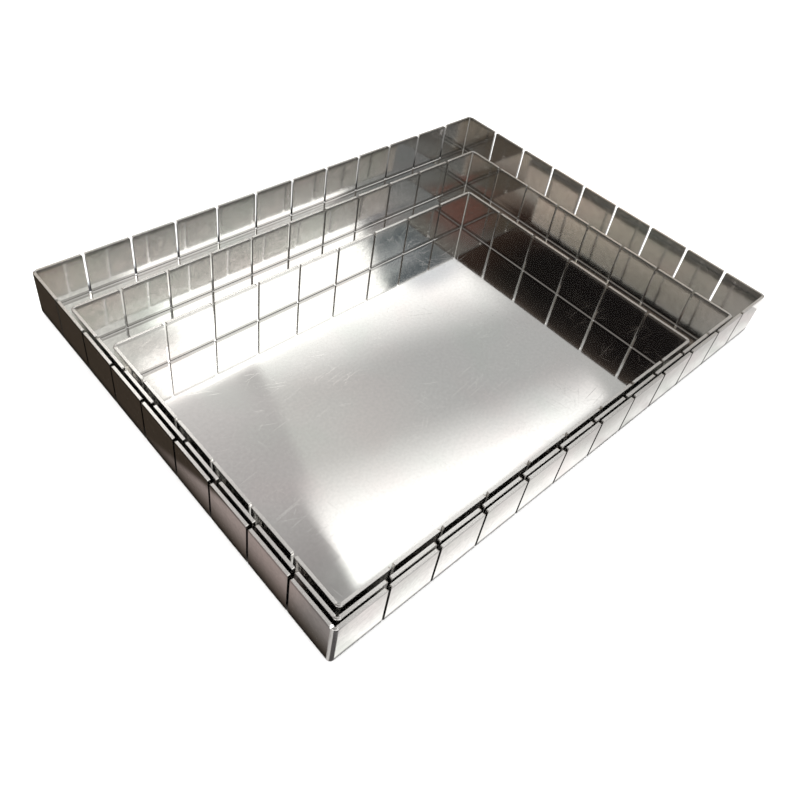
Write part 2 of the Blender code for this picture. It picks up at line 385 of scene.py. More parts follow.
def folded_sheet_tree():
    """Lays out a tray's blank, cuts its corners and slits, thickens it and folds its walls up."""
    tree = bpy.data.node_groups.new("slotted_tray_sheet", "GeometryNodeTree")
    blank_inputs(tree)
    plan = Plan(tree)
    group = tree.nodes.new("NodeGroupInput")
    sizes = {output.name: Socket(plan, output) for output in group.outputs if output.name}
    sizes["fold"] = sizes["bend_radius"] + sizes["sheet"]
    sizes["bend_length"] = (sizes["bend_radius"] + sizes["sheet"] * 0.5) * QUARTER_TURN

    # A grid with a spacing of one, so that a point's position counts columns and rows from the middle
    long_points = sizes["long_panels"] * PANEL_POINTS
    short_points = sizes["short_panels"] * PANEL_POINTS
    long_all = long_points + 2 * FLAP_ROWS
    short_all = short_points + 2 * FLAP_ROWS
    grid = plan.node("GeometryNodeMeshGrid", {
        "Size X": long_all - 1, "Size Y": short_all - 1, "Vertices X": long_all, "Vertices Y": short_all,
    })
    spot = plan.split(plan.node("GeometryNodeInputPosition"))

    def on_axis(place, points):
        """How many rows a point lies over the floor's edge, on which side, and its column on the floor."""
        half = (points - 1) * 0.5
        over = plan.math("MAXIMUM", plan.math("ABSOLUTE", place) - half, 0)
        return over, plan.math("SIGN", place), plan.clamped(place + half, 0, points - 1)

    over_x, side_x, column_x = on_axis(spot["X"], long_points)
    over_y, side_y, column_y = on_axis(spot["Y"], short_points)
    across_x = panel_columns(
        plan, column_x, sizes["length"], sizes["long_panels"], sizes["mouth_radius"], sizes)
    across_y = panel_columns(
        plan, column_y, sizes["width"], sizes["short_panels"], sizes["short_wall_mouth"], sizes)

    inward_y, lower_y = uneven_panel(plan, across_x, side_y + LONG_SIDES, sizes)
    inward_x, lower_x = uneven_panel(plan, across_y, side_x + SHORT_SIDES, sizes)
    reach_x, share_x, rim_x = flap_rows(plan, over_x, across_y["drop"] + lower_x, sizes)
    reach_y, share_y, rim_y = flap_rows(plan, over_y, across_x["drop"] + lower_y, sizes)

    inward = inward_x * share_x + inward_y * share_y
    rise = plan.math("MAXIMUM", share_x, share_y)
    over = plan.math("MAXIMUM", over_x, over_y)
    sheet = plan.stored(
        grid, "fold", plan.vector(reach_x * side_x, reach_y * side_y, inward), kind="FLOAT_VECTOR")
    sheet = plan.stored(sheet, "rim", plan.math("MINIMUM", rim_x, rim_y))
    sheet = plan.stored(sheet, "rise", rise)
    sheet = plan.stored(sheet, "blur", plan.ramp(rise, *FLOOR_TO_WALL) * sizes["wall_blur"])
    sheet = plan.stored(sheet, "bend", plan.clamped(over / BEND_ROWS))

    # On a face these read the face's middle, half-way between two columns or rows
    def slit(column, over):
        panel = plan.math("FLOOR", column / PANEL_POINTS)
        return (column - panel * PANEL_POINTS > PANEL_COLUMNS) * (over > SLIT_ROOT_ROW)

    corner = (over_x > 0) * (over_y > 0)
    waste = corner + slit(column_x, over_y) + slit(column_y, over_x)
    sheet = plan.node("GeometryNodeDeleteGeometry", {"Geometry": sheet, "Selection": waste}, domain="FACE")

    flat_x = across_x["along"] + sizes["fold"] - sizes["length"] * 0.5 + reach_x * side_x
    flat_y = across_y["along"] + sizes["fold"] - sizes["width"] * 0.5 + reach_y * side_y
    sheet = plan.node("GeometryNodeSetPosition", {
        "Geometry": sheet, "Position": plan.vector(flat_x, flat_y, 0),
    })
    sheet = plan.stored(
        sheet, "blank", plan.node("GeometryNodeInputPosition"), kind="FLOAT2", domain="CORNER")

    upper = plan.node("GeometryNodeExtrudeMesh", {
        "Mesh": sheet, "Offset": (0, 0, 1), "Offset Scale": sizes["sheet"], "Individual": False,
    }, mode="FACES")
    # The cut faces inside the slits get painted shade
    slit_side = upper["Side"] * plan.ramp(plan.kept("rim"), *SHADED_SLIT_SIDES)
    walls = plan.stored(upper, "cut", upper["Side"], domain="FACE")
    walls = plan.stored(walls, "slit_side", slit_side, domain="FACE")
    under = plan.node("GeometryNodeFlipFaces", {"Mesh": sheet})
    under = plan.stored(under, "blur", plan.kept("blur") + sizes["outside_blur"])
    under = plan.stored(under, "outside", 1.0, domain="FACE")
    joined = plan.node("GeometryNodeJoinGeometry", {"Geometry": [walls, under]})
    closed = plan.node("GeometryNodeMergeByDistance", {"Geometry": joined, "Distance": MERGE_DISTANCE})

    folded = fold_up(plan, closed, sizes)
    smooth = plan.node("GeometryNodeSetShadeSmooth", {"Geometry": folded, "Shade Smooth": True})
    real = plan.node("GeometryNodeRealizeInstances", {"Geometry": smooth})
    painted = plan.node("GeometryNodeSetMaterial", {"Geometry": real, "Material": sizes["metal"]})
    plan.node("NodeGroupOutput", {"Geometry": painted})
    return tree


def fold_up(plan, sheet, sizes):
    """Bends the flaps up, draws their rims in a little and puts the tray in its place."""
    position = plan.node("GeometryNodeInputPosition")
    spot = plan.split(position)
    flap = plan.split(plan.kept("fold", "FLOAT_VECTOR"))
    near_rim = plan.clamped(1 - plan.kept("rim") / sizes["roll_height"])
    roll = near_rim * near_rim * sizes["roll_depth"]
    half_sheet = sizes["sheet"] * 0.5
    depth = spot["Z"] + (half_sheet - spot["Z"]) / half_sheet * roll
    reach = plan.math("ABSOLUTE", flap["X"]) + plan.math("ABSOLUTE", flap["Y"])
    turn = plan.math("MINIMUM", reach / sizes["bend_length"], 1) * QUARTER_TURN
    radius = sizes["fold"] - depth
    outward = radius * plan.math("SINE", turn) - flap["Z"]
    above = plan.math("MAXIMUM", reach - sizes["bend_length"], 0)

    # Slow waves that fade out towards the folds
    waves = plan.noise(position, 1 / sizes["wave_length"], 1.0)
    edge_x = (sizes["length"] * 0.5 - plan.math("ABSOLUTE", spot["X"])) / sizes["wave_length"]
    edge_y = (sizes["width"] * 0.5 - plan.math("ABSOLUTE", spot["Y"])) / sizes["wave_length"]
    fade = plan.ramp(plan.math("MINIMUM", edge_x, edge_y), *WAVES_FROM_FOLD)
    wave = waves * fade * sizes["floor_wave"]

    height = sizes["fold"] - radius * plan.math("COSINE", turn) + above + wave
    place = plan.vector(
        spot["X"] - flap["X"] + plan.math("SIGN", flap["X"]) * outward,
        spot["Y"] - flap["Y"] + plan.math("SIGN", flap["Y"]) * outward,
        height,
    )
    return plan.node("GeometryNodeSetPosition", {
        "Geometry": sheet, "Position": plan.sum_of(place, sizes["place"]),
    })


def tray_place(tray):
    """The middle of a tray's underside, its length and its width, from the frame."""
    low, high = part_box(f"{tray}_sheet")
    middle = (low + high) / 2
    return Vector((middle.x, middle.y, low.z)), high.x - low.x, high.y - low.y


def add_sheet(tray, sizes, metal):
    """Runs the tree for one tray and keeps the result as a plain mesh."""
    place, length, width = tray_place(tray)
    number = TRAYS.index(tray)
    long_panels, short_panels = getattr(sizes, f"{tray}_panels")
    tree = bpy.data.node_groups.get("slotted_tray_sheet") or folded_sheet_tree()
    values = {
        "length": length, "width": width,
        "long_panels": float(long_panels), "short_panels": float(short_panels),
        "wall_blur": sizes.wall_blur[number], "outside_blur": sizes.outside_blur[number],
        "place": place, "seed": sizes.seed + number, "metal": metal,
    }
    values.update({size: getattr(sizes, size) for size in SHARED_SIZES})
    maker = new_object("blank", bpy.data.meshes.new("blank"))
    modifier = maker.modifiers.new("sheet", "NODES")
    modifier.node_group = tree
    for item in tree.interface.items_tree:
        if item.in_out == "INPUT":
            modifier[item.identifier] = values[item.name]
    edges = maker.modifiers.new("edges", "BEVEL")
    edges.width = sizes.edge
    edges.segments = EDGE_SEGMENTS
    edges.angle_limit = EDGE_ANGLE
    maker.modifiers.new("flats", "WEIGHTED_NORMAL")
    graph = bpy.context.evaluated_depsgraph_get()
    made = maker.evaluated_get(graph)
    mesh = bpy.data.meshes.new_from_object(made, preserve_all_data_layers=True, depsgraph=graph)
    bpy.data.objects.remove(maker)
    for name in ("fold", "rim"):
        mesh.attributes.remove(mesh.attributes[name])
    return finished_piece(f"{tray}_folded_sheet", mesh, f"{tray}_tray", f"{tray}_sheet")


def finished_piece(name, mesh, body, node):
    piece = new_object(name, mesh)
    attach(piece, body)
    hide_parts(node)
    return piece


# The patterns on the sheet: the waves to the metre, detail, roughness and distortion of each noise
SHEET_PATTERNS = {
    "grain": ((30, 1900, 1), 2.0, 0.6),
    "grain strength": ((300, 60, 1), 2.0, 0.5),
    "streaks": ((40, 420, 1), 2.0, 0.5),
    "speckle": (480.0, 3.0, 0.55),
    "mottle": (240.0, 4.0, 0.7, 0.6),
    "dents": (130.0, 2.0, 0.5),
    "scratched places": (19.0, 2.0, 0.5),
    "smudges": (28.0, 3.0, 0.6, 0.8),
    "bloom": (17.0, 2.0, 0.5, 0.4),
}

# How each mark fades in: where it starts and is whole, and for some the values that it goes between
SHEET_STEPS = {
    "wall": FLOOR_TO_WALL,
    "wall grain": (0.0, 0.1, 0.5, 1.0),
    "grain strength": (0.35, 0.65, 0.3, 1.6),
    "grain depth": (0.0, 0.03, 0.0000006, 0.0000016),
    "wall scratches": (*FLOOR_TO_WALL, 1.0, 0.25),
    "scratched places": (0.42, 0.62),
    "shear band": (0.92, 0.95),
    # Painted shade along the folds
    "crease in fold": (0.05, 0.4),
    "crease on wall": (0.07, 0.045),
    "smudges": (0.52, 0.75),
    "green bloom": (0.5, 0.72),
    "rose bloom": (0.5, 0.3),
    "speckle tint": (0.3, 0.7, 0.0, 0.4),
    "mottle tint": (0.4, 0.62, 0.0, 0.6),
    "bulge": (0.0, 0.02),
}

# What each mark adds to the roughness, how much of the metal's colour it covers, and its depth in metres
SHEET_BLUR = {"smudges": 0.02, "scratches": 0.16, "cut": 0.16, "shear band": 0.08, "mottle": 0.03}
SHEET_COVER = {"shear band": 0.65, "crease": 0.7, "slit side": 0.8}
SHEET_DEPTH = {"speckle": 0.0000002, "dents": 0.000008, "scratches": 0.000003}
LOST_GRAIN = 0.6  # share of the grain's depth that an outside lacks
LEAST_ROUGHNESS = 0.03
NOISE_MIDDLE = 0.5
MOTTLE_MIDDLE = 0.4

# Families of scratches: turn, waves to the metre along and across, and the noise above which one shows
SCRATCH_FAMILIES = (
    (math.radians(24), 26, 2300, 0.71),
    (math.radians(-38), 40, 2100, 0.72),
    (math.radians(78), 34, 2600, 0.72),
    (math.radians(-8), 20, 2600, 0.71),
)
SCRATCH_EDGE = 0.05
FAMILY_SHIFT = (3.1, 1.7)  # how far each family's noise lies from the last one's


def scratches(plan, blank):
    """Thin straight scratches in a few directions, more in some places than in others."""
    total = 0
    for number, (turn, along, across, least) in enumerate(SCRATCH_FAMILIES):
        turned = plan.node("ShaderNodeVectorRotate", {"Vector": blank, "Angle": turn}, rotation_type="Z_AXIS")
        moved = plan.sum_of(turned, (number * FAMILY_SHIFT[0], number * FAMILY_SHIFT[1], 0))
        lines = plan.noise(moved, (along, across, 1), 1.0, 0.4)
        total = plan.ramp(lines, least, least + SCRATCH_EDGE) + total
    places = plan.noise(blank, *SHEET_PATTERNS["scratched places"])
    return plan.clamped(total * plan.ramp(places, *SHEET_STEPS["scratched places"]))


def polished_sheet(finish):
    """Rolled and polished aluminium: a soft mirror with rolling grain, bloom, smudges and scratches."""
    material, plan = new_material("polished_sheet")
    blank = plan.node("ShaderNodeUVMap", uv_map="blank")
    place = plan.node("ShaderNodeTexCoord")["Object"]
    cut, rise, bend, blur, slit_side, outside = (
        plan.painted(name) for name in ("cut", "rise", "bend", "blur", "slit_side", "outside"))

    def pattern(vector, name):
        return plan.noise(vector, *SHEET_PATTERNS[name])

    def step(value, name):
        return plan.ramp(value, *SHEET_STEPS[name])

    wall = step(rise, "wall")
    speckle = pattern(blank, "speckle")
    mottle = pattern(blank, "mottle")
    bloom = pattern(place, "bloom")
    # The shaded shear band: rougher sheared metal, darkened with painted shade
    shear_band = step(rise, "shear band") * (1 - cut)
    # Painted shade along each fold, from the bend onto the foot of the wall
    crease = step(bend, "crease in fold") * step(rise, "crease on wall")
    scratched = scratches(plan, blank) * step(rise, "wall scratches")

    roughness = (
        finish.polish
        + (pattern(blank, "streaks") - NOISE_MIDDLE) * finish.grain
        + (speckle - NOISE_MIDDLE) * finish.grain
        + step(pattern(place, "smudges"), "smudges") * SHEET_BLUR["smudges"]
        + scratched * SHEET_BLUR["scratches"]
        + cut * SHEET_BLUR["cut"]
        + blur * (1 - cut)
        + shear_band * SHEET_BLUR["shear band"]
        + (mottle - MOTTLE_MIDDLE) * wall * SHEET_BLUR["mottle"]
    )

    colour = tuple(finish.sheet)
    for cover, tint in (
        (step(bloom, "green bloom"), finish.green_bloom),
        (step(bloom, "rose bloom"), finish.rose_bloom),
        (step(speckle, "speckle tint"), finish.speckle),
        (step(mottle, "mottle tint") * wall, finish.mottle),
        (shear_band * SHEET_COVER["shear band"], finish.shear_band),
        (crease * SHEET_COVER["crease"], finish.crease),
        (cut, finish.cut),
        # painted shade inside the slits
        (slit_side * SHEET_COVER["slit side"], finish.slit_side),
    ):
        colour = plan.blend(cover, colour, tuple(tint))

    # Fine grain along the rolling direction blurs reflections across it, most on the insides of the walls
    strength = step(pattern(blank, "grain strength"), "grain strength") * step(rise, "wall grain")
    grain_depth = step(blur, "grain depth") * (1 - outside * LOST_GRAIN)
    bulge = rise * (1 - rise) * step(blur, "bulge") * (1 - outside)
    height = (
        pattern(blank, "grain") * strength * grain_depth
        + speckle * SHEET_DEPTH["speckle"]
        + pattern(blank, "dents") * wall * SHEET_DEPTH["dents"]
        - scratched * SHEET_DEPTH["scratches"]
        + bulge * (4 * finish.bulge)
    )
    lines = plan.node("ShaderNodeBump", {"Strength": 1.0, "Distance": 1.0, "Height": height})
    surface = plan.node("ShaderNodeBsdfPrincipled", {
        "Base Color": colour, "Metallic": 1.0, "Normal": lines,
        "Roughness": plan.clamped(roughness, LEAST_ROUGHNESS, 1.0),
    })
    finish_material(plan, surface)
    return material


# The weld: waves to the metre of its brushing and pits, and the noise at which a pit starts and is whole
WELD_BRUSHING = (900, 900, 250)
WELD_PITS = 1500.0
PIT_EDGE = (0.62, 0.72)
PIT_COLOUR = (0.35, 0.34, 0.33)
PIT_COVER = 0.5
WELD_POLISH = 0.16
WELD_BRUSHED = 0.1  # how much the brushing changes the roughness
WELD_DEPTH = 0.00005
WELD_RELIEF = 0.12  # share of that depth that shows


def dressed_weld(finish):
    """Weld metal that was ground and brushed, duller than the sheet."""
    material, plan = new_material("dressed_weld")
    place = plan.node("ShaderNodeTexCoord")["Object"]
    brushed = plan.noise(place, WELD_BRUSHING)
    pits = plan.ramp(plan.noise(place, WELD_PITS), *PIT_EDGE)
    relief = {"Strength": WELD_RELIEF, "Distance": WELD_DEPTH, "Height": brushed - pits}
    surface = plan.node("ShaderNodeBsdfPrincipled", {
        "Base Color": plan.blend(pits * PIT_COVER, tuple(finish.weld), PIT_COLOUR),
        # The drop on the front corner is no metal, so that its light colour shows as a painted glint
        "Metallic": 1 - plan.painted("burnt"),
        "Roughness": WELD_POLISH + brushed * WELD_BRUSHED,
        "Normal": plan.node("ShaderNodeBump", relief),
    })
    finish_material(plan, surface)
    return material


# Facets of a weld
WELD_FOOT_STEPS = 8
WELD_CAP_STEPS = 8
WELD_SIDE_STEPS = 36
WELD_TURN_STEPS = 14
WELD_SHARP_ANGLE = math.radians(50)
DROP_ROUNDNESS = 3  # subdivisions of the drop

# A ripple runs up and down by so many radians, in so many waves a radian round the corner
RIPPLE_WAVER = 1.2
RIPPLE_WAVER_WAVES = 3

# Waves of the ripples' unevenness, a radian round the corner and a metre up it
UNEVEN_ROUND = 2
UNEVEN_UP = 400


def weld_profile(sizes):
    """The weld's section in points (out from the corner's axis, height), up outside and down inside."""
    outer = sizes.bend_radius + sizes.sheet
    inner = sizes.bend_radius
    cap = sizes.sheet / 2
    foot = [QUARTER_TURN * step / WELD_FOOT_STEPS for step in range(WELD_FOOT_STEPS)]
    straight = sizes.wall_height - cap - outer
    sides = [outer + straight * step / WELD_SIDE_STEPS for step in range(WELD_SIDE_STEPS)]
    crown = [math.pi * step / WELD_CAP_STEPS for step in range(WELD_CAP_STEPS + 1)]
    outside = [(outer * math.sin(turn), outer * (1 - math.cos(turn))) for turn in foot]
    outside += [(outer, height) for height in sides]
    top = [
        (outer - cap * (1 - math.cos(turn)), sizes.wall_height - cap * (1 - math.sin(turn))) for turn in crown
    ]
    inside = [(inner, height) for height in reversed(sides)]
    inside += [(inner * math.sin(turn), outer - inner * math.cos(turn)) for turn in reversed(foot)]
    return outside + top + inside


def ripple_share(turn, height, pitch, corner):
    """How deep a weld's ripples are at one of its points, from 0 to 1. Corner tells the welds apart."""
    waver = RIPPLE_WAVER * math.sin(turn * RIPPLE_WAVER_WAVES)
    ripple = 0.5 + 0.5 * math.sin(height / pitch * math.tau + waver)
    uneven = 0.5 + 0.5 * noise.noise(Vector((turn * UNEVEN_ROUND, height * UNEVEN_UP, corner)))
    return ripple * uneven


def add_weld(tray, depth, hand, sizes, weld, metal):
    """One dressed corner weld, turned about its corner's axis and a little rippled."""
    place, length, width = tray_place(tray)
    fold = sizes.bend_radius + sizes.sheet
    side_x = 1 if hand == "right" else -1
    side_y = 1 if depth == "back" else -1
    axis = place + Vector((side_x * (length / 2 - fold), side_y * (width / 2 - fold), 0))
    middle_turn = math.atan2(side_y, side_x)
    half_turn = QUARTER_TURN / 2 + weld.overlap
    corner = TRAYS.index(tray) + side_x + side_y * 3
    profile = weld_profile(sizes)
    shape = bmesh.new()
    rings = []
    for step in range(WELD_TURN_STEPS + 1):
        turn = middle_turn + half_turn * (2 * step / WELD_TURN_STEPS - 1)
        arm = Vector((math.cos(turn), math.sin(turn), 0))
        ring = []
        for out, height in profile:
            ripple = weld.ripple * ripple_share(turn, height, weld.ripple_pitch, corner)
            dressed = out - ripple * min(1, out / fold)
            ring.append(shape.verts.new(axis + arm * dressed + Vector((0, 0, height))))
        rings.append(ring)
    for first, second in zip(rings, rings[1:]):
        for index in range(len(profile) - 1):
            shape.faces.new((first[index], second[index], second[index + 1], first[index + 1]))
    for ring in (rings[0], rings[-1]):
        shape.faces.new(ring)
    bmesh.ops.remove_doubles(shape, verts=shape.verts, dist=MERGE_DISTANCE)
    name = f"{tray}_weld_{depth}_{hand}"
    if name == "outer_weld_front_left":
        drop = axis + Vector(weld.drop_place) + Vector((0, 0, sizes.wall_height))
        made = bmesh.ops.create_icosphere(
            shape, subdivisions=DROP_ROUNDNESS, radius=weld.drop, matrix=Matrix.Translation(drop))
        # The drop's faces are marked for the painted glint
        burnt = shape.faces.layers.float.new("burnt")
        for face in {face for vert in made["verts"] for face in vert.link_faces}:
            face[burnt] = 1.0
    bmesh.ops.recalc_face_normals(shape, faces=shape.faces)
    mesh = bpy.data.meshes.new(f"{name}_bead")
    shape.to_mesh(mesh)
    shape.free()
    mesh.shade_smooth()
    mesh.set_sharp_from_angle(angle=WELD_SHARP_ANGLE)
    mesh.materials.append(metal)
    return finished_piece(f"{name}_bead", mesh, f"{tray}_tray", name)


class TRAY_OT_sheet(bpy.types.Operator):
    """Cut, fold and polish the sheet of one tray"""

    bl_idname = "tray.sheet"
    bl_label = "Fold a Tray Sheet"

    tray: bpy.props.EnumProperty(
        name="Tray", description="Which tray of the nest",
        items=[(tray, tray.title(), f"The {tray} tray") for tray in TRAYS])

    def execute(self, context):
        metal = bpy.data.materials.get("polished_sheet") or polished_sheet(context.scene.tray_finish)
        add_sheet(self.tray, context.scene.tray_sizes, metal)
        return {"FINISHED"}


class TRAY_OT_welds(bpy.types.Operator):
    """Weld and dress the upright corners of all trays"""

    bl_idname = "tray.welds"
    bl_label = "Weld the Corners"

    def execute(self, context):
        metal = dressed_weld(context.scene.tray_finish)
        for tray in TRAYS:
            for depth in ("front", "back"):
                for hand in ("left", "right"):
                    add_weld(tray, depth, hand, context.scene.tray_sizes, context.scene.tray_welds, metal)
        return {"FINISHED"}


NEAREST_SEEN = 0.01  # metres from the camera


def add_camera(stage):
    camera = bpy.data.cameras.new("camera")
    camera.lens = stage.lens
    camera.shift_x, camera.shift_y = stage.shift
    camera.clip_start = NEAREST_SEEN
    item = new_object("camera", camera)
    level = math.cos(stage.elevation)
    back = Vector((
        math.sin(stage.azimuth) * level, -math.cos(stage.azimuth) * level, math.sin(stage.elevation)))
    item.rotation_mode = "QUATERNION"
    item.rotation_quaternion = (-back).to_track_quat("-Z", "Y") @ Quaternion((0, 0, 1), stage.roll)
    item.location = stage.stand
    bpy.context.scene.camera = item


def patch(colour, x=(), y=(), slants=()):
    """A soft-edged patch of the room, on a level plane one unit up, where each direction meets it. Each pair
    in x or y is an edge: where the patch fades out and where it is whole. A slant is an edge across both."""
    edges = [(1, 0, *ends) for ends in zip(x[::2], x[1::2])]
    edges += [(0, 1, *ends) for ends in zip(y[::2], y[1::2])]
    return colour, edges + list(slants)


# What the polished metal reflects. Later patches lie over earlier ones.
ROOM = (0.63, 0.62, 0.6)
ROOM_PATCHES = {
    "right part of the ceiling": patch((0.49, 0.49, 0.485), x=(0.5, 0.85)),
    "left part of the ceiling": patch((0.5, 0.48, 0.475), slants=((1, -0.3, 0.33, 0.31),)),
    "pale far left": patch(
        (0.68, 0.66, 0.65), x=(0.56, 0.48), y=(0.58, 0.82), slants=((1, -0.3, 0.33, 0.31),)),
    "dim near left": patch((0.34, 0.33, 0.325), y=(0.56, 0.38), slants=((1, -0.28, 0.345, 0.32),)),
    "wall behind the trays": patch((0.22, 0.22, 0.21), y=(0.955, 0.97)),
    "top of that wall": patch((0.26, 0.26, 0.25), y=(1.12, 1.14)),
    "left end of that wall": patch((0.45, 0.39, 0.33), x=(0.47, 0.42), y=(1.02, 1.06)),
    "right wall": patch((0.33, 0.295, 0.25), x=(1.08, 1.3)),
    "right wall further back": patch((0.41, 0.365, 0.31), x=(1.25, 1.36), y=(0.4, 0.6)),
    "right wall, far side": patch((0.54, 0.49, 0.43), x=(1.45, 1.47)),
    "right wall's dark edge": patch(
        (0.12, 0.107, 0.093), x=(1.12, 1.15), y=(0.25, 0.3, 0.95, 0.85),
        slants=((1, 0.2, 1.43, 1.41),)),
    "warm far corner": patch((0.86, 0.7, 0.59), x=(1.42, 1.46), y=(0.62, 0.8, 1.0, 0.86)),
    "dim back corner": patch((0.42, 0.405, 0.38), x=(0.97, 1.02), y=(0.98, 1.04)),
    "dark back corner": patch((0.25, 0.235, 0.21), x=(1.16, 1.3), y=(1.0, 1.06)),
    "upper light": patch(
        (1.3, 1.29, 1.26), x=(1.12, 1.05), y=(0.96, 0.935),
        slants=((0.19, 1, 0.785, 0.965), (1, -0.283, 0.325, 0.35))),
    "bluish end of it": patch((0.78, 0.8, 0.82), x=(0.91, 0.98, 1.12, 1.05), y=(0.74, 0.79, 0.96, 0.935)),
    "first bright band": patch((2.5, 2.47, 2.37), x=(0.3, 0.36, 0.95, 0.9), y=(0.78, 0.84, 0.96, 0.935)),
    "second bright band": patch((2.1, 2.08, 2.0), x=(0.3, 0.36, 0.84, 0.76), y=(1.085, 1.1, 1.15, 1.12)),
    "its right end": patch((2.0, 1.99, 1.9), x=(0.76, 0.84, 1.0, 0.95), y=(1.06, 1.075, 1.115, 1.095)),
    "long light panel": patch(
        (1.9, 1.89, 1.85), x=(1.12, 1.04), y=(-1.22, -1.06),
        slants=((0.2, 1, 0.672, 0.44), (1, -0.2, 0.34, 0.365))),
    "gap in the light panels": patch((0.42, 0.415, 0.41), x=(0.2, 0.35), y=(0.35, 0.341, -0.3, -0.2)),
    "panel's cut corner": patch(
        (0.5, 0.5, 0.49), x=(1.14, 1.08), y=(0.2, 0.3, 0.5, 0.42), slants=((1, -0.5, 0.835, 0.87),)),
    "panel's dim corner": patch((0.8, 0.8, 0.77), x=(0.5, 0.46), y=(-0.88, -0.91)),
    "panel's dim end": patch((0.85, 0.85, 0.82), x=(0.4, 0.375), y=(-0.7, -0.74)),
    "blinds": patch((0.09, 0.11, 0.125), x=(0.87, 0.89), y=(-0.76, -0.8), slants=((1, 0.5, 0.478, 0.498),)),
    "upper slat": patch((0.7, 0.72, 0.73), x=(0.89, 0.92, 1.08, 1.0), y=(-0.889, -0.878, -0.859, -0.87)),
    "lower slat": patch((0.5, 0.5, 0.5), x=(0.92, 0.95, 1.08, 1.0), y=(-0.963, -0.952, -0.93, -0.942)),
    "dark right end": patch((0.19, 0.195, 0.195), x=(1.04, 1.1), y=(-0.7, -0.76)),
    "pale lower right": patch((0.3, 0.3, 0.295), x=(1.0, 1.04, 1.18, 1.12), y=(-0.93, -0.97)),
    "left wall": patch((0.3, 0.28, 0.26), x=(-0.2, -0.95)),
    "left wall, near side": patch((0.12, 0.115, 0.11), x=(-0.9, -1.1), y=(-0.2, -0.5)),
    "red brown cupboard": patch(
        (0.19, 0.09, 0.072), x=(-1.12, -1.16, -1.34, -1.3), y=(-0.83, -0.88, -1.0, -0.96)),
    "grey cupboard": patch((0.22, 0.21, 0.195), x=(-0.95, -1.05, -1.2, -1.12), y=(-0.78, -0.83, -1.3, -1.2)),
    "grey under it": patch((0.2, 0.205, 0.2), x=(-1.0, -1.1, -1.45, -1.4), y=(-0.98, -1.02)),
    "dark shelf": patch((0.085, 0.066, 0.05), x=(-1.2, -1.24), y=(-0.72, -0.79, -0.9, -0.85)),
    "dark corner": patch(
        (0.12, 0.1, 0.08), x=(-1.28, -1.32), y=(-0.8, -0.9), slants=((1, -1, -0.28, -0.36),)),
    "brown doorway edge": patch((0.17, 0.132, 0.108), x=(-0.95, -1.0, -1.44, -1.39), y=(0.1, 0.3, 1.1, 0.9)),
    "pale wall by the doorway": patch((0.33, 0.29, 0.24), x=(-1.44, -1.48), y=(0.85, 0.92)),
    "doorway": patch((0.008, 0.007, 0.0072), x=(-0.97, -1.17, -1.38, -1.345), y=(0.06, 0.18, 0.86, 0.8)),
    "brown lintel": patch((0.034, 0.021, 0.016), x=(-0.98, -1.05, -1.38, -1.345), y=(0.7, 0.8, 0.88, 0.8)),
}
HORIZON = (0.42, 0.41, 0.4)
HORIZON_TO_ROOM = (0.12, 0.4)  # heights of a direction between which the one turns into the other
LOWEST_RISE = 0.05  # a direction lower than this meets the plane as if it rose so much
GLOSSY_BOUNCES = 8


def add_surroundings(stage):
    """Even light for the floor, and for the metal a room with a long light panel and a dark doorway."""
    world = bpy.data.worlds.new("studio")
    bpy.context.scene.world = world
    world.use_nodes = True
    world.node_tree.nodes.clear()
    world.cycles.sampling_method = "NONE"
    plan = Plan(world.node_tree)
    towards = plan.split(plan.node("ShaderNodeTexCoord")["Generated"])
    rise = plan.math("MAXIMUM", towards["Z"], LOWEST_RISE)
    x = towards["X"] / rise
    y = towards["Y"] / rise

    room = ROOM
    for colour, edges in ROOM_PATCHES.values():
        steps = [plan.ramp(share_x * x + share_y * y, *ends) for share_x, share_y, *ends in edges]
        room = plan.blend(math.prod(steps), room, colour)
    room = plan.blend(plan.ramp(towards["Z"], *HORIZON_TO_ROOM), HORIZON, room)

    kind = plan.node("ShaderNodeLightPath")
    plain = plan.math("MAXIMUM", kind["Is Camera Ray"], kind["Is Diffuse Ray"])
    light = plan.blend(plain, room, (stage.daylight,) * 3)
    background = plan.node("ShaderNodeBackground", {"Color": light, "Strength": 1.0})
    plan.node("ShaderNodeOutputWorld", {"Surface": background})


def rectangle(left, right, front, back):
    return [(left, front), (right, front), (right, back), (left, back)]


FLOOR_REACH = 4.0  # metres from the middle to each side


def stage_plate(name, corners, height=0.0):
    """A level plate of the stage, and the plan of its own material."""
    mesh = bpy.data.meshes.new(name)
    mesh.from_pydata([(x, y, height) for x, y in corners], [], [range(len(corners))])
    item = new_object(name, mesh)
    material, plan = new_material(name)
    mesh.materials.append(material)
    return item, plan


def add_floor(stage):
    corners = rectangle(-FLOOR_REACH, FLOOR_REACH, -FLOOR_REACH, FLOOR_REACH)
    item, plan = stage_plate("floor", corners)
    mirrored = plan.node("ShaderNodeLightPath")["Is Glossy Ray"]
    colour = plan.blend(mirrored, tuple(stage.floor), tuple(stage.mirrored_floor))
    finish_material(plan, plan.node("ShaderNodeBsdfDiffuse", {"Color": colour}))


CARD_HEIGHT = 0.0008
CARD_GAP = 0.0006  # from a wall's face to a card
CORNER_INSET = 0.0026  # from the tray's corner to the point where the corner card's colours meet


def add_card(name, corners, colour_of, seen_by="glossy"):
    """A card lying on the floor that only the metal mirrors, or only the camera sees. Colour_of paints it."""
    item, plan = stage_plate(name, corners, CARD_HEIGHT)
    for ray in ("camera", "glossy", "diffuse", "transmission", "volume_scatter", "shadow"):
        setattr(item, f"visible_{ray}", ray == seen_by)
    place = plan.split(plan.node("ShaderNodeTexCoord")["Object"])
    colour = colour_of(plan, place["X"], place["Y"])
    finish_material(plan, plan.node("ShaderNodeEmission", {"Color": colour, "Strength": 1.0}))


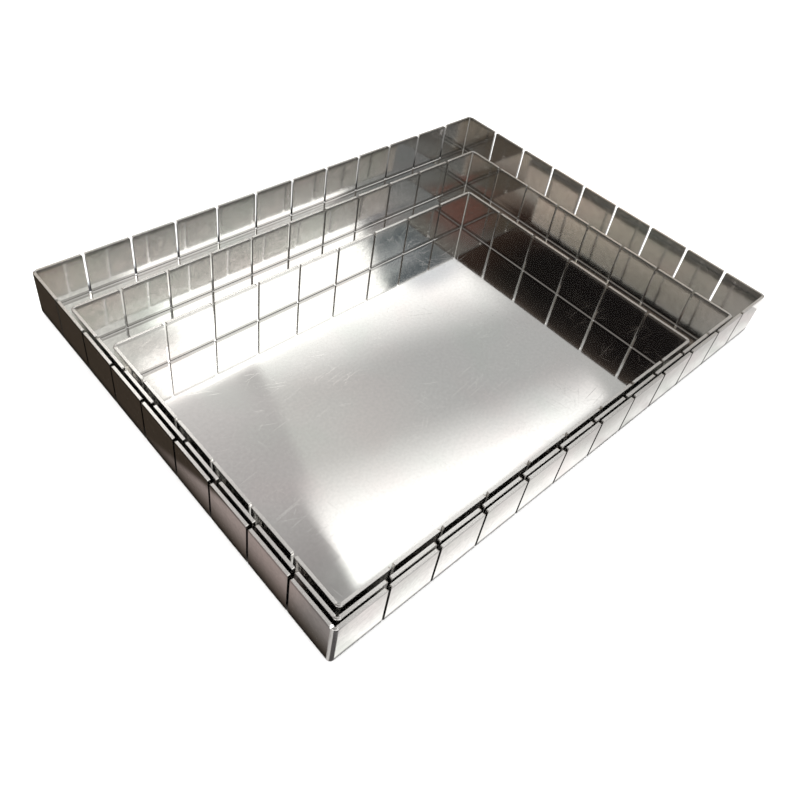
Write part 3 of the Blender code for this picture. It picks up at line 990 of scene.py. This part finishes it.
def left_card_colour(plan, x, y):
    """The painted reflection of the floor beside the left wall: a black painted shadow under the wall, dark
    brown further out, and lighter towards the front corner.
    """
    black, brown = (0.012, 0.01, 0.009), (0.046, 0.035, 0.026)
    pale, at_front = (0.35, 0.29, 0.27), (0.26, 0.235, 0.225)
    slant = 6  # how far the pale part's end runs forwards for each step out
    out = (OUTER_LOW.x - x) * MILLIMETRES
    along = (y - OUTER_LOW.y) * MILLIMETRES
    dark = plan.blend(plan.ramp(out, 0.0, 3.0), black, brown)
    light = plan.blend(plan.ramp(along, 45, 20), pale, at_front)
    lit = plan.ramp(out, 0.3, 10.5) * plan.ramp(along + out * slant, 185, 165)
    return plan.blend(lit, dark, light)


def back_card_colour(plan, x, y):
    """The painted reflection of the floor behind the back wall: a dark painted shadow under the wall, pale
    further out.
    """
    dark, pale = (0.05, 0.05, 0.05), (0.6, 0.6, 0.59)
    out = (y - OUTER_HIGH.y) * MILLIMETRES
    return plan.blend(plan.ramp(out, 4.0, 20.0), dark, pale)


def back_shade_colour(plan, x, y):
    """The shade at the foot of the back wall, which shows through the slits and fades out at both ends."""
    shade, lit_floor = (0.09, 0.09, 0.095), (1.2, 1.2, 1.2)
    slant = 1.32  # how far the left end runs right for each step out
    out = (y - OUTER_HIGH.y) * MILLIMETRES
    from_left = (x - OUTER_LOW.x) * MILLIMETRES - out * slant
    from_right = (OUTER_HIGH.x - x) * MILLIMETRES
    ends = plan.math("MAXIMUM", plan.ramp(from_left, 22, 2.2), plan.ramp(from_right, 20, 1))
    return plan.blend(plan.math("MAXIMUM", plan.ramp(out, 5.0, 10.5), ends), shade, lit_floor)


def corner_card_colour(plan, x, y):
    """A painted reflection round the front corner: light towards the left and dark towards the front."""
    dark, light = (0.09, 0.085, 0.085), (0.62, 0.6, 0.58)
    slant, soft = 1.5, 0.0008
    left = OUTER_LOW.x + CORNER_INSET - x
    front = OUTER_LOW.y + CORNER_INSET - y
    return plan.blend(plan.ramp(left - front * slant, -soft, soft), dark, light)


def front_card_colour(plan, x, y):
    """The painted reflection of the floor in front: a dark painted shadow line under the front wall, then
    bright and slowly dimmer, with pink and green hints.
    """
    dark, bright, dimmer = (0.1, 0.1, 0.105), (1.25, 1.23, 1.2), (0.78, 0.755, 0.735)
    pink, green, black = (0.95, 0.88, 0.87), (0.83, 0.85, 0.8), (0.0, 0.0, 0.0)
    waves_along, waves_out = 35, 60
    hint, less_on_right = 0.7, 0.22
    out = (OUTER_LOW.y - y) * MILLIMETRES
    hints = plan.noise(plan.vector(x * waves_along, y * waves_out, 0), 1.0, 1.0)
    light = plan.blend(plan.ramp(out, 1.5, 10), bright, dimmer)
    light = plan.blend(plan.ramp(hints, 0.5, 0.25, 0.0, hint), light, pink)
    light = plan.blend(plan.ramp(hints, 0.5, 0.75, 0.0, hint), light, green)
    light = plan.blend(plan.ramp(x, -0.02, 0.02, 0.0, less_on_right), light, black)
    return plan.blend(plan.ramp(out, 0.0, 1.4), dark, light)


# The cards' outlines, as distances from the outer tray's ends and corners
CORNER_CARD = ((0.0026, -0.0002), (-0.0002, 0.0026), (-0.0225, 0.0227), (-0.03, -0.03), (0.0249, -0.0203))
FRONT_CARD = ((0.004, 0.0012), (0.0026, -0.0002), (0.0359, -0.0302))
LEFT_CARD_START = 0.0032
LEFT_CARD_REACH = 0.3
BACK_CARD_WIDTH = 0.0394
FRONT_CARD_PAST = 0.03  # how far the front card goes past the tray's right end
SHADE_WIDTH = 0.0106
SHADE_START = 0.003
SHADE_SLANT_START = 0.017
SHADE_END = 0.001


def add_cards():
    low, high = OUTER_LOW, OUTER_HIGH
    reach = LEFT_CARD_REACH
    back = high.y + CARD_GAP
    left_card = rectangle(low.x - reach, low.x - CARD_GAP, low.y + LEFT_CARD_START, reach)
    back_card = rectangle(low.x, high.x, back, back + BACK_CARD_WIDTH)
    shade = rectangle(low.x + SHADE_START, high.x - SHADE_END, back, back + SHADE_WIDTH)
    shade[-1] = (low.x + SHADE_SLANT_START, back + SHADE_WIDTH)
    corner_card, front_card = (
        [(low.x + x, low.y + y) for x, y in points] for points in (CORNER_CARD, FRONT_CARD))
    right = high.x + FRONT_CARD_PAST
    front_card += [(right, front_card[-1][1]), (right, front_card[0][1])]
    add_card("left_card", left_card, left_card_colour)
    add_card("back_card", back_card, back_card_colour)
    add_card("back_shade", shade, back_shade_colour, "camera")
    add_card("front_card", front_card, front_card_colour)
    add_card("corner_card", corner_card, corner_card_colour)


class TRAY_OT_stage(bpy.types.Operator):
    """Set up the floor, the light and the camera"""

    bl_idname = "tray.stage"
    bl_label = "Set Up the Stage"

    def execute(self, context):
        stage = context.scene.tray_stage
        context.scene.view_settings.view_transform = "Standard"
        context.scene.cycles.glossy_bounces = GLOSSY_BOUNCES
        add_camera(stage)
        add_surroundings(stage)
        add_floor(stage)
        add_cards()
        return {"FINISHED"}


class TRAY_PT_panel(bpy.types.Panel):
    """The steps of the build, in order"""

    bl_idname = "TRAY_PT_panel"
    bl_label = "Slotted Trays"
    bl_space_type = "VIEW_3D"
    bl_region_type = "UI"
    bl_category = "Trays"

    def draw(self, context):
        column = self.layout.column()
        for tray in TRAYS:
            column.operator("tray.sheet", text=f"Fold the {tray.title()} Sheet").tray = tray
        column.operator("tray.welds")
        column.operator("tray.stage")


CLASSES = (
    TraySizes, WeldSizes, MetalFinish, StageSettings,
    TRAY_OT_sheet, TRAY_OT_welds, TRAY_OT_stage, TRAY_PT_panel,
)
SETTINGS = {
    "tray_sizes": TraySizes, "tray_welds": WeldSizes, "tray_finish": MetalFinish, "tray_stage": StageSettings,
}


def register():
    for kind in CLASSES:
        bpy.utils.register_class(kind)
    for name, kind in SETTINGS.items():
        setattr(bpy.types.Scene, name, bpy.props.PointerProperty(type=kind))


def unregister():
    for name in SETTINGS:
        delattr(bpy.types.Scene, name)
    for kind in reversed(CLASSES):
        bpy.utils.unregister_class(kind)


def main():
    register()
    bpy.ops.tray.stage()
    for tray in TRAYS:
        bpy.ops.tray.sheet(tray=tray)
    bpy.ops.tray.welds()


if __name__ == "__main__":
    main()
